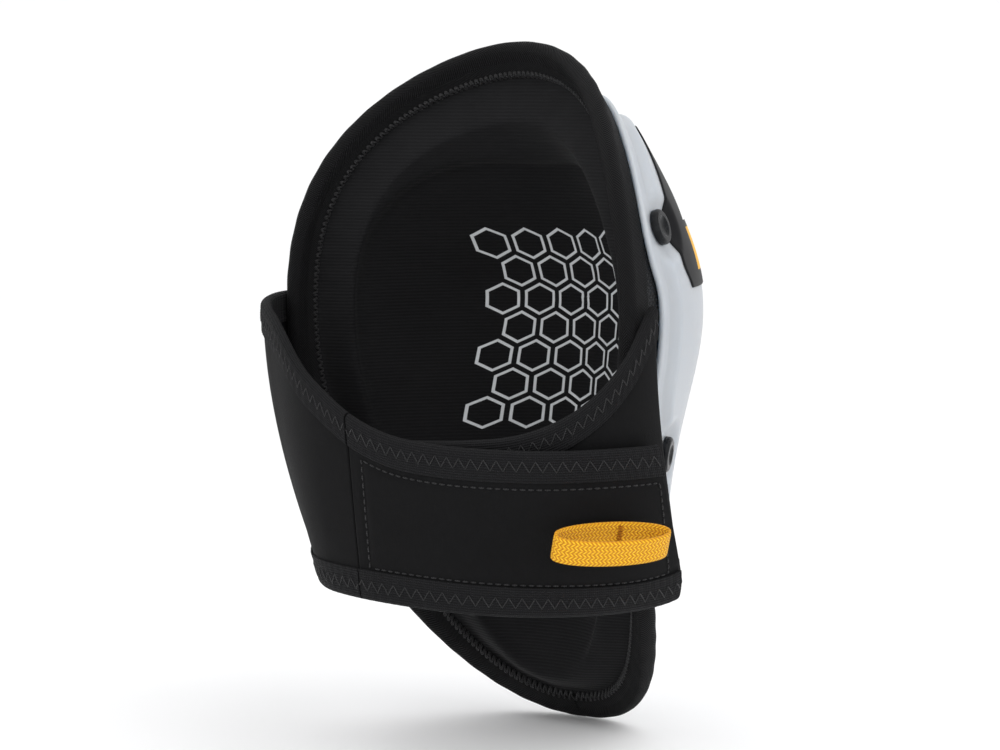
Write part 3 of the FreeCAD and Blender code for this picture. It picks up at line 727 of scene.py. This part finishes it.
# ---- Straps -------------------------------------------------------------------------------------------
# Thin foam faced with smooth stretch fabric. The outer strap is sewn to the +X wing, goes round the back of
# the leg and closes over the under strap, which is sewn to the -X wing.
PANEL_T, STRAP_STAND, LAP = 2.6, 3.4, 5.6
OUTER_TOP = ((-7, 164), (12, 163), (34, 160), (54, 152), (70, 137), (85, 124), (100, 117.5), (130, 115),
             (160, 115.5), (185, 116))
OUTER_LOW = ((-7, 58), (25, 57.5), (60, 58.5), (90, 57.5), (125, 54.5), (155, 53.5), (172, 55), (185, 59))
UNDER_TOP = ((76, 112), (95, 116), (115, 117.5), (130, 120), (145, 127), (158, 137), (170, 149), (180, 161),
             (187, 166))
UNDER_LOW = ((76, 66), (110, 60), (150, 58), (187, 60))
ROOT_FRONT, OUTER_END, TAB_START, TAB_END, UNDER_END = -4.0, 83.0, 83.4, 177.0, 76.0
FOLD, FOLD_FLANGE, TRIM_T = 2.2, 9.0, 0.7


def loop(turn, z, out=0.0):
    """Middle of a strap: half an ellipse round the back of the leg at each height, from the +X wing at turn 0
    to the -X wing at 180, moved off along its own normal."""
    turn, z, out = np.broadcast_arrays(np.radians(turn), np.asarray(z, float), np.asarray(out, float))
    a = half_width(z) + STRAP_STAND
    middle = -lean(z) - 6.0
    b = 32.0 + 13.0 * (z - 48.0) / 116.0 - middle
    nx, ny = b * np.cos(turn), a * np.sin(turn)
    length = np.hypot(nx, ny)
    x, y = a * np.cos(turn) + out * nx / length, middle + b * np.sin(turn) + out * ny / length
    return np.stack([x, y, z], -1)


def outer_lap(turn):
    """The outer strap climbs on to the under strap between two turns."""
    return LAP * smooth(turn, 40.0, 72.0)


def under_lap(turn):
    """The under strap stays on the loop's middle."""
    return 0.0 * np.asarray(turn, float)


def run_to(turns, steps, height):
    """Turns along a strap as a grid, a row for each step. The far end is a turn, or (z, turn) pairs for an end
    that is not straight; height(turn) gives each column's z."""
    share = np.linspace(0, 1, steps)[:, None]
    start, end = turns
    if np.ndim(end) == 0:
        return start + (end - start) * share
    last = np.full_like(height(np.full((1, 1), end[0][1])), end[0][1])
    for _ in range(6):
        last = through(end, height(last))
    return start + (last - start) * share


def end_faces(first, n, pairs):
    """Quads across a strip's cut end, between its two faces."""
    return [[first + j, first + j + 1, first + pairs - 1 - j, first + pairs - j] for j in range(n)]


STRAP_Z = 90.0


def strap_panel(name, turns, low, high, lap, shape, steps, across):
    """A closed strip of strap: its outer face from the low edge to the high one, then its inner face back,
    along the turns. shape(turn, z, z0, z1) is how far the outer face stands up from flat."""
    t = np.linspace(0, 1, across)[None, :]

    def height(turn):
        bottom = through(low, turn)
        return bottom + FOLD + (through(high, turn) - bottom - 2 * FOLD) * t
    turn = run_to(turns, steps, height)
    z0, z1 = through(low, turn) + FOLD, through(high, turn) - FOLD
    z = z0 + (z1 - z0) * t
    outer = loop(turn, z, lap(turn) + PANEL_T / 2 + shape(turn, z, z0, z1))
    inner = loop(turn, z, lap(turn) - PANEL_T / 2)[:, ::-1]
    points = np.concatenate([outer, inner], 1)
    n = points.shape[1]
    faces = grid_faces(steps, n, False, True)
    faces += [f[::-1] for f in end_faces(0, across - 1, n - 1)]
    faces += end_faces((steps - 1) * n, across - 1, n - 1)
    length = arc_length(loop(turn[:, 0], STRAP_Z))
    wide = np.concatenate([z, z[:, ::-1] + 200], 1)
    flat = np.stack(np.broadcast_arrays(length[:, None], wide), -1) * 0.001
    return add_mesh(name, points, faces, None, flat)


def gathers(turn):
    """Small gathers that the elastic pulls into a strap's edge: a sine of the turn."""
    return 0.07 * np.sin(turn * 2.3)


def strap_trim(name, turns, edge, lap, up, steps):
    """Elastic tape folded over a strap's long edge: the U section carried along the edge's curve."""
    section = fold_section(PANEL_T / 2 + AIR, FOLD_FLANGE, TRIM_T, 7, 8)
    drop = up * (section[None, :, 0] - FOLD)
    turn = run_to(turns, steps, lambda k: through(edge, k) + drop)
    z = through(edge, turn) + drop
    bead = 0.16 * np.exp(-((section[None, :, 0] + FOLD_FLANGE - 0.5) / 0.7) ** 2) + gathers(turn)
    points = loop(turn, z, lap(turn) + section[None, :, 1] + bead * np.sign(section[None, :, 1]))
    n = points.shape[1]
    faces = grid_faces(steps, n, False, True, flip=up < 0)
    half = (n - 2) // 2
    caps = []
    for first, turned in ((0, up > 0), (((steps - 1) * n), up < 0)):
        cap = end_faces(first, half - 1, n - 2)
        cap += [[first + half - 1, first + half, first + half + 1], [first + n - 2, first + n - 1, first]]
        caps += [c[::-1] for c in cap] if turned else cap
    faces += caps
    length = arc_length(loop(turn[:, 0], through(edge, turn[:, 0])))
    flat = np.stack(np.broadcast_arrays(length[:, None], arc_length(section)[None, :]), -1) * 0.001
    return add_mesh(name, points, faces, None, flat)


def strap_cloth():
    """Smooth charcoal stretch cloth: fine grain, a faint upright stretch line and soft tone clouds."""
    r = Recipe("stretch_cloth", Sheen_Weight=0.02, Sheen_Roughness=0.5, Roughness=0.8,
               Specular_IOR_Level=0.08)
    place = r.cloth_place()
    grain = r.noise(place, 2600.0, 2.0, 0.7)
    lines = r.noise(r.stretched(place, (3.0, 0.4, 1.0)), 500.0, 2.0)
    cloud = r.noise(place, 45.0, 3.0)
    tone = r.math("ADD", r.math("MULTIPLY", grain, 0.45),
                  r.math("ADD", r.math("MULTIPLY", lines, 0.25), r.math("MULTIPLY", cloud, 0.3)))
    r.colour(r.mix(tone, (0.0015, 0.0015, 0.0016, 1), (0.0095, 0.0095, 0.0102, 1)))
    r.bump((grain, 0.00012), (lines, 0.00006))
    return r


def elastic_cloth():
    """Woven elastic: fine ribs along the tape, a cross thread and fuzz."""
    r = Recipe("elastic_tape", Sheen_Weight=0.015, Roughness=0.75, Specular_IOR_Level=0.1)
    place = r.cloth_place()
    along, across = r.axes(place)[:2]
    rib = r.math("SINE", r.math("MULTIPLY", across, 2 * PI / 0.0009))
    cross = r.math("SINE", r.math("MULTIPLY", along, 2 * PI / 0.0007))
    fuzz = r.noise(place, 1600.0, 3.0, 0.7)
    tone = r.math("ADD", r.math("MULTIPLY", r.ramp(rib, -1.0, 1.0), 0.35),
                  r.math("ADD", r.math("MULTIPLY", r.ramp(cross, -1.0, 1.0), 0.15),
                         r.math("MULTIPLY", fuzz, 0.5)))
    r.colour(r.mix(tone, (0.001, 0.001, 0.0012, 1), (0.017, 0.017, 0.0185, 1)))
    r.bump((rib, 0.00010), (cross, 0.00005), (fuzz, 0.00016))
    return r


stretch_cloth, elastic = strap_cloth(), elastic_cloth()


# where the closure tab starts on the loop, and the way the loop runs there
TAB_Z, TAB_BEND_MM = 88.0, 20
tab_at = loop(TAB_START, TAB_Z, LAP)
tab_run = unit(loop(TAB_START + 1, TAB_Z, LAP) - loop(TAB_START - 1, TAB_Z, LAP))


def dimple_line(x, where, depth, width):
    """How far a stitch line pulls the cloth down at x: a narrow bell."""
    return -depth * np.exp(-((x - where) / width) ** 2)


def plain_swell(turn, z, z0, z1):
    """Cloth that stands up a little between its two taped edges, with slow waves along it."""
    t = (z - z0) / (z1 - z0)
    return 0.35 * np.sin(PI * np.clip(t, 0, 1)) + 0.18 * np.sin(turn / 6.5 + z / 17) * np.sin(PI * t)


HOOK_TURN, HOOK_END, HOOK_TOP, HOOK_LOW = 87.0, 173.0, 13.8, 12.2


def tab_swell(turn, z, z0, z1):
    """The tab: pulled down along the hook patch's stitches and a little proud inside them."""
    top, low = through(OUTER_TOP, turn) - HOOK_TOP, through(OUTER_LOW, turn) + HOOK_LOW
    inside = smooth(z, low, low + 3) * (1 - smooth(z, top - 3, top)) * smooth(turn, HOOK_TURN, HOOK_TURN + 3)
    seams = dimple_line(z, top, 0.3, 0.8) + dimple_line(z, low, 0.3, 0.8)
    seams = seams * smooth(turn, HOOK_TURN - 1, HOOK_TURN + 1)
    left = dimple_line(turn, HOOK_TURN, 0.35, 0.9) * ((z > low) & (z < top))
    return 0.2 * np.sin(PI * (z - z0) / (z1 - z0)) + 0.25 * inside + seams + left


TAB_CUT = ((52, 172.5), (56, 175.5), (62, 177.4), (70, 177.9), (80, 177.3), (95, 176.0), (108, 175.0),
           (117, 174.4))
OUTER_RUN, TAB_RUN, UNDER_RUN = (ROOT_FRONT, OUTER_END), (TAB_START, TAB_CUT), (UNDER_END, 180 - ROOT_FRONT)
pieces = {}
for strap, turns, low, high, lap, swell, grid, trim_steps in (
        ("outer_strap", OUTER_RUN, OUTER_LOW, OUTER_TOP, outer_lap, plain_swell, (140, 26), 240),
        ("closure_tab", TAB_RUN, OUTER_LOW, OUTER_TOP, outer_lap, tab_swell, (260, 60), 300),
        ("under_strap", UNDER_RUN, UNDER_LOW, UNDER_TOP, under_lap, plain_swell, (140, 26), 300)):
    cloth = strap_panel(strap + "_cloth", turns, low, high, lap, swell, *grid)
    top_tape = strap_trim(strap + "_top_tape", turns, high, lap, 1, trim_steps)
    low_tape = strap_trim(strap + "_low_tape", turns, low, lap, -1, trim_steps)
    pieces[strap] = [cloth, top_tape, low_tape]
    roots = () if strap == "closure_tab" else (strap + "_root",)
    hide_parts(strap + "_panel", *roots)
    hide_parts(strap + "_top_trim")
    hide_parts(strap + "_low_trim")
    stretch_cloth.on(cloth)
    elastic.on(top_tape, low_tape)


# ---- Strap stitching ----------------------------------------------------------------------------------
# Zigzag stitches hold each folded tape, and a run of lock stitches outlines the hook patch on the tab's face.
ZIGZAG_MIDDLE, ZIGZAG_REACH, ZIGZAG_PITCH, ZIGZAG_R = 5.6, 1.9, 2.1, 0.21


def zigzag(name, turns, edge, lap, up):
    """A zigzag thread on a folded tape's outer face: a triangle wave of the length, just off the tape."""
    turn = np.linspace(*turns, 3000)
    length = arc_length(loop(turn, through(edge, turn)))
    k = np.arange(0, length[-1], ZIGZAG_PITCH / 6)
    turn = np.interp(k, length, turn)
    wave = 2 / PI * np.arcsin(np.sin(k / ZIGZAG_PITCH * PI))
    z = through(edge, turn) - up * (ZIGZAG_MIDDLE + ZIGZAG_REACH * wave)
    lift = PANEL_T / 2 + AIR + TRIM_T + 0.10 + gathers(turn)
    return tube(name, loop(turn, z, lap(turn) + lift), ZIGZAG_R, None, sides=5)


DASH_MM, DASH_GAP, DASH_R = 2.0, 0.9, 0.33


def lock_stitches(name, path, off):
    """Short dashes of thread along a path, each a six-sided spindle that dips into the cloth at both ends."""
    far = arc_length(path)
    starts = np.arange(0, far[-1] - DASH_MM, DASH_MM + DASH_GAP)
    s = np.linspace(0, 1, 5)
    where = starts[:, None] + s[None, :] * DASH_MM
    at = np.stack([np.interp(where, far, path[:, c]) for c in range(3)], -1)
    out = unit(np.stack([np.interp(where, far, off[:, c]) for c in range(3)], -1))
    ahead = unit(np.gradient(at, axis=1))
    side = np.cross(out, ahead)
    turn = np.linspace(0, 2 * PI, 6, endpoint=False)
    fat = (DASH_R * np.sin(PI * (0.12 + 0.76 * s)) ** 0.6)[None, :, None]
    ring = (at[:, :, None] + out[:, :, None] * ((np.sin(turn)[None, None] + 0.55) * fat)[..., None]
            + side[:, :, None] * (np.cos(turn)[None, None] * fat)[..., None])
    first = (np.arange(len(starts)) * 30)[:, None, None]
    dash = np.array(grid_faces(5, 6, False, True))
    ends = np.array([[5, 4, 3, 2, 1, 0], [24, 25, 26, 27, 28, 29]])
    faces = (dash[None] + first).reshape(-1, 4).tolist() + (ends[None] + first).reshape(-1, 6).tolist()
    flat = np.stack(np.broadcast_arrays(where[:, :, None], 0.3 * turn[None, None]), -1) * 0.001
    return add_mesh(name, ring, faces, None, flat)


def on_tab(turn, z, lift=0.0):
    """A point on the tab's outer face."""
    z0, z1 = through(OUTER_LOW, turn) + FOLD, through(OUTER_TOP, turn) - FOLD
    return loop(turn, z, LAP + PANEL_T / 2 + tab_swell(turn, z, z0, z1) + lift)


def patch_outline():
    """Round the hook patch: up its left side, along the top, down the right and back along the bottom."""
    run = np.linspace(HOOK_TURN, HOOK_END, 200)
    top, low = through(OUTER_TOP, run) - HOOK_TOP, through(OUTER_LOW, run) + HOOK_LOW
    rise = np.linspace(0, 1, 40)
    turn = np.concatenate([np.full(40, run[0]), run, np.full(40, run[-1]), run[::-1]])
    z = np.concatenate([low[0] + (top[0] - low[0]) * rise, top, top[-1] + (low[-1] - top[-1]) * rise,
                        low[::-1]])
    return turn, z


turn, z = patch_outline()
patch_path = on_tab(turn, z)
patch_off = unit(on_tab(turn, z, 1.0) - patch_path)
stitched = {
    "outer_strap": [zigzag("outer_top_zigzag", OUTER_RUN, OUTER_TOP, outer_lap, 1),
                    zigzag("outer_low_zigzag", OUTER_RUN, OUTER_LOW, outer_lap, -1)],
    "closure_tab": [zigzag("tab_top_zigzag", (TAB_START, 174.2), OUTER_TOP, outer_lap, 1),
                    zigzag("tab_low_zigzag", (TAB_START, 176.5), OUTER_LOW, outer_lap, -1),
                    lock_stitches("hook_patch_stitches", patch_path, patch_off)],
    "under_strap": [zigzag("under_top_zigzag", UNDER_RUN, UNDER_TOP, under_lap, 1),
                    zigzag("under_low_zigzag", UNDER_RUN, UNDER_LOW, under_lap, -1)]}
for strap, rows in stitched.items():
    for row in rows:
        black_thread.on(row)


# ---- Hook patch ---------------------------------------------------------------------------------------
# A rectangle of moulded plastic hooks sewn to the inside of the closure tab; it grips the under strap's face.
PATCH_TURNS, PATCH_INSET, PATCH_T, HOOK_ROW = (87.0, 174.0), 12.0, 1.6, 0.0013


def hook_stuff():
    """Rows of tiny hooks: a dot lattice, the product of two sines, each dot a raised bump."""
    r = Recipe("hook_plastic", Roughness=0.5)
    place = r.cloth_place()
    x, y = (r.math("SINE", r.math("MULTIPLY", axis, 2 * PI / HOOK_ROW)) for axis in r.axes(place)[:2])
    dots = r.ramp(r.math("MULTIPLY", x, y), 0.1, 0.8)
    r.colour(r.mix(dots, (0.006, 0.006, 0.006, 1), (0.05, 0.05, 0.052, 1)))
    r.bump((dots, 0.0007))
    return r


turn = np.linspace(*PATCH_TURNS, 160)[:, None]
t = np.linspace(0, 1, 24)[None, :]
low, high = through(OUTER_LOW, turn) + PATCH_INSET, through(OUTER_TOP, turn) - PATCH_INSET
z = low + (high - low) * t
selvedge = np.abs(2 * t - 1) > 0.93
face = loop(turn, z, LAP - PANEL_T / 2 - PATCH_T + 0.5 * selvedge)
back = loop(turn, z, LAP - PANEL_T / 2 + 0.2)
points = np.concatenate([back, face[:, ::-1]], 1)
n = points.shape[1]
faces = grid_faces(160, n, False, True) + [list(range(n))[::-1], list(range(159 * n, 160 * n))]
length = arc_length(loop(turn[:, 0], STRAP_Z))
flat = np.stack(np.broadcast_arrays(length[:, None], np.concatenate([z, z[:, ::-1]], 1)), -1) * 0.001
hooks = add_mesh("hook_patch_face", points, faces, None, flat)
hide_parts("hook_patch")
hook_stuff().on(hooks)
for piece in pieces["outer_strap"] + stitched["outer_strap"]:
    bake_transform(piece)
for piece in pieces["under_strap"] + stitched["under_strap"]:
    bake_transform(piece)
for piece in pieces["closure_tab"] + stitched["closure_tab"] + [hooks]:
    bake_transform(piece)


# ---- Pull loop ----------------------------------------------------------------------------------------
# A ring of yellow webbing, flattened and tacked to the tab at the middle of its back, for pulling the tab open.
PULL_TURN, PULL_Z, PULL_STAND, PULL_DROOP = 151.5, 85.5, 3.8, 24.0
PULL_L, PULL_D, PULL_W, PULL_T, WEBBING_COLUMN = 43.0, 14.0, 9.6, 1.3, 0.0012
TACK_SLIDE, TACK_TALL, TACK_R = 5.0, 7.8, 0.24
tack = loop(PULL_TURN, PULL_Z, LAP + PANEL_T / 2)
along = unit(loop(PULL_TURN + 1, PULL_Z) - loop(PULL_TURN - 1, PULL_Z))
flat_out = np.cross(along, (0, 0, 1))
droop = math.radians(PULL_DROOP)
outward = flat_out * math.cos(droop) - np.array((0, 0, math.sin(droop)))
across = np.cross(outward, along)
centre = tack + flat_out * PULL_STAND


def ring_line(inset_mm):
    """A flattened oval with soft pinched ends: cosine along, a sine across raised to a power below one."""
    w = np.linspace(0, 2 * PI, 260, endpoint=False)
    a, b = PULL_L / 2 - inset_mm, PULL_D / 2 - inset_mm
    s = np.sin(w)
    bulge = b * np.sign(s) * np.abs(s) ** 0.92
    return centre + along * (a * np.cos(w))[:, None] + outward * (PULL_D / 2 + bulge)[:, None]


def webbing_stuff():
    """Yellow webbing: columns of chevron ribs, painted shade that darkens the grooves and the gaps between
    columns, a soft cloth sheen.
    """
    r = Recipe("yellow_webbing", Roughness=0.6, Sheen_Weight=0.05, Specular_IOR_Level=0.2)
    place = r.cloth_place()
    rib = chevron(r, place, 0.0015, WEBBING_COLUMN, 1.0)
    column = r.math("ABSOLUTE", r.math("SINE", r.math("MULTIPLY", r.axes(place)[1], PI / WEBBING_COLUMN)))
    height = r.math("MULTIPLY", r.ramp(rib, -1.0, 0.6),
                    r.math("ADD", 0.45, r.math("MULTIPLY", column, 0.55)))
    fuzz = r.noise(place, 1800.0, 2.0)
    # painted shade: the low parts of the rib height take the deep orange, the crowns the bright yellow
    r.colour(r.mix(height, (0.60, 0.22, 0.004, 1), (0.96, 0.56, 0.022, 1)))
    r.bump((height, 0.00035), (fuzz, 0.00006))
    return r


outer_ring, inner_ring = ring_line(0.0), ring_line(PULL_T)
t = np.linspace(-1, 1, 15)[None, :, None]
edge_soft = 1 - 0.25 * np.abs(t) ** 8
mid_ring = (outer_ring + inner_ring) / 2
outer_face, inner_face = (mid_ring[:, None] + (ring - mid_ring)[:, None] * edge_soft - across * (PULL_W / 2) * t
                          for ring in (outer_ring, inner_ring))
points = np.concatenate([outer_face, inner_face[:, ::-1]], 1)
n = points.shape[1]
length = arc_length(outer_ring)
wide = np.concatenate([np.linspace(0, PULL_W, 15), np.linspace(PULL_W, 0, 15)])
flat = np.stack(np.broadcast_arrays(length[:, None], wide[None, :]), -1) * 0.001
pull = add_mesh("pull_loop_webbing", points, grid_faces(len(outer_ring), n, True, True), "pull_loop", flat)
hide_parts("pull_loop")
webbing_stuff().on(pull)

# the tack's thread runs to and fro up the inside of the loop's back: a triangle wave along, and level rises
k = np.linspace(0, 1, 200)
slide = TACK_SLIDE + 0.75 * 2 / PI * np.arcsin(np.sin(k * PI * 18))
depth = PULL_T + 0.12 + PULL_D / 2 * (1 - np.sqrt(1 - (slide / (PULL_L / 2)) ** 2))
climb = TACK_TALL * (k - 0.5)
tack_path = centre + along * slide[:, None] + outward * depth[:, None] + across * climb[:, None]
tack_thread = tube("tack_stitches", tack_path, TACK_R, "pull_loop", sides=5)
bar = Recipe("yellow_thread", Roughness=0.6, Specular_IOR_Level=0.2)
wraps = bar.math("SINE", bar.math("MULTIPLY", bar.axes(bar.object_place())[2], 2 * PI / 0.0006))
bar.colour(bar.mix(bar.ramp(wraps, -1.0, 1.0), (0.36, 0.10, 0.003, 1), (0.72, 0.30, 0.012, 1)))
bar.bump((wraps, 0.0002))
bar.on(node["pull_loop_bar_tack"], tack_thread)


# ---- Floor, lights and camera -------------------------------------------------------------------------
# The pad stands on white paper that curves up far behind it, under three soft lamps, and a long lens looks from
# behind its -X side.
AZ, EL, FAR, AIM, CURVE, WALL = math.radians(217), math.radians(5), 1.2, np.array([0, -0.030, -0.025]), 1.2, 4.0
low_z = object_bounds()[0][2]
floor_mesh = bpy.data.meshes.new("floor")
bend = np.linspace(0.1, PI / 2, 12)
run = np.concatenate([np.linspace(-3, CURVE, 8), CURVE + CURVE * np.sin(bend), [2 * CURVE]])
rise = np.concatenate([np.zeros(8), CURVE - CURVE * np.cos(bend), [WALL]])
away = np.array([math.sin(AZ), -math.cos(AZ), 0.0])
right = np.array([-away[1], away[0], 0.0])
widths = np.linspace(-4, 4, 9)
sheet_points = (-away * run[:, None])[:, None] + right * widths[None, :, None]
sheet_points = sheet_points + np.array([0, 0, 1.0]) * rise[:, None, None]
sheet_points[..., 2] += low_z - 0.0005
floor_mesh.from_pydata(sheet_points.reshape(-1, 3), [], grid_faces(len(run), 9))
floor_mesh.polygons.foreach_set("use_smooth", np.ones(len(floor_mesh.polygons), bool))
floor = bpy.data.objects.new("floor", floor_mesh)
bpy.context.scene.collection.objects.link(floor)
paper = Recipe("white_paper", Roughness=0.9)
cloud = paper.noise(paper.object_place(), 3.0)
paper.colour(paper.mix(cloud, (0.96, 0.96, 0.965, 1), (0.975, 0.975, 0.98, 1)))
paper.on(floor)


def soft_light(name, place, size, power):
    """A square softbox aimed at the middle of the pad."""
    data = bpy.data.lights.new(name, "AREA")
    data.size, data.energy = size, power
    light = bpy.data.objects.new(name, data)
    bpy.context.scene.collection.objects.link(light)
    light.location = place
    aim = -np.array(place) + (0, -0.03, 0)
    level = math.hypot(aim[0], aim[1])
    light.rotation_euler = (math.atan2(level, -aim[2]), 0, math.atan2(-aim[0], aim[1]))


soft_light("key", tuple(away * 1.0 + right * 1.0 + (0, 0, 1.0)), 2.0, 14)
soft_light("fill", tuple(away * 1.3 - right * 1.1 + (0, 0, 0.5)), 2.0, 9)
soft_light("top", (0.0, 0.0, 1.7), 2.6, 9)
world = bpy.data.worlds.new("studio")
bpy.context.scene.world = world
world.use_nodes = True
world.node_tree.nodes["Background"].inputs[0].default_value = (1, 1, 1, 1)
world.node_tree.nodes["Background"].inputs[1].default_value = 0.80

camera_data = bpy.data.cameras.new("camera")
camera_data.lens = 116.64
camera_data.clip_end = 20
camera = bpy.data.objects.new("camera", camera_data)
bpy.context.scene.collection.objects.link(camera)
back = np.array([math.sin(AZ) * math.cos(EL), -math.cos(AZ) * math.cos(EL), math.sin(EL)])
camera.location = tuple(AIM + back * FAR)
camera.rotation_euler = (PI / 2 - EL, 0, AZ)
bpy.context.scene.camera = camera
bpy.context.scene.view_settings.view_transform = "Standard"
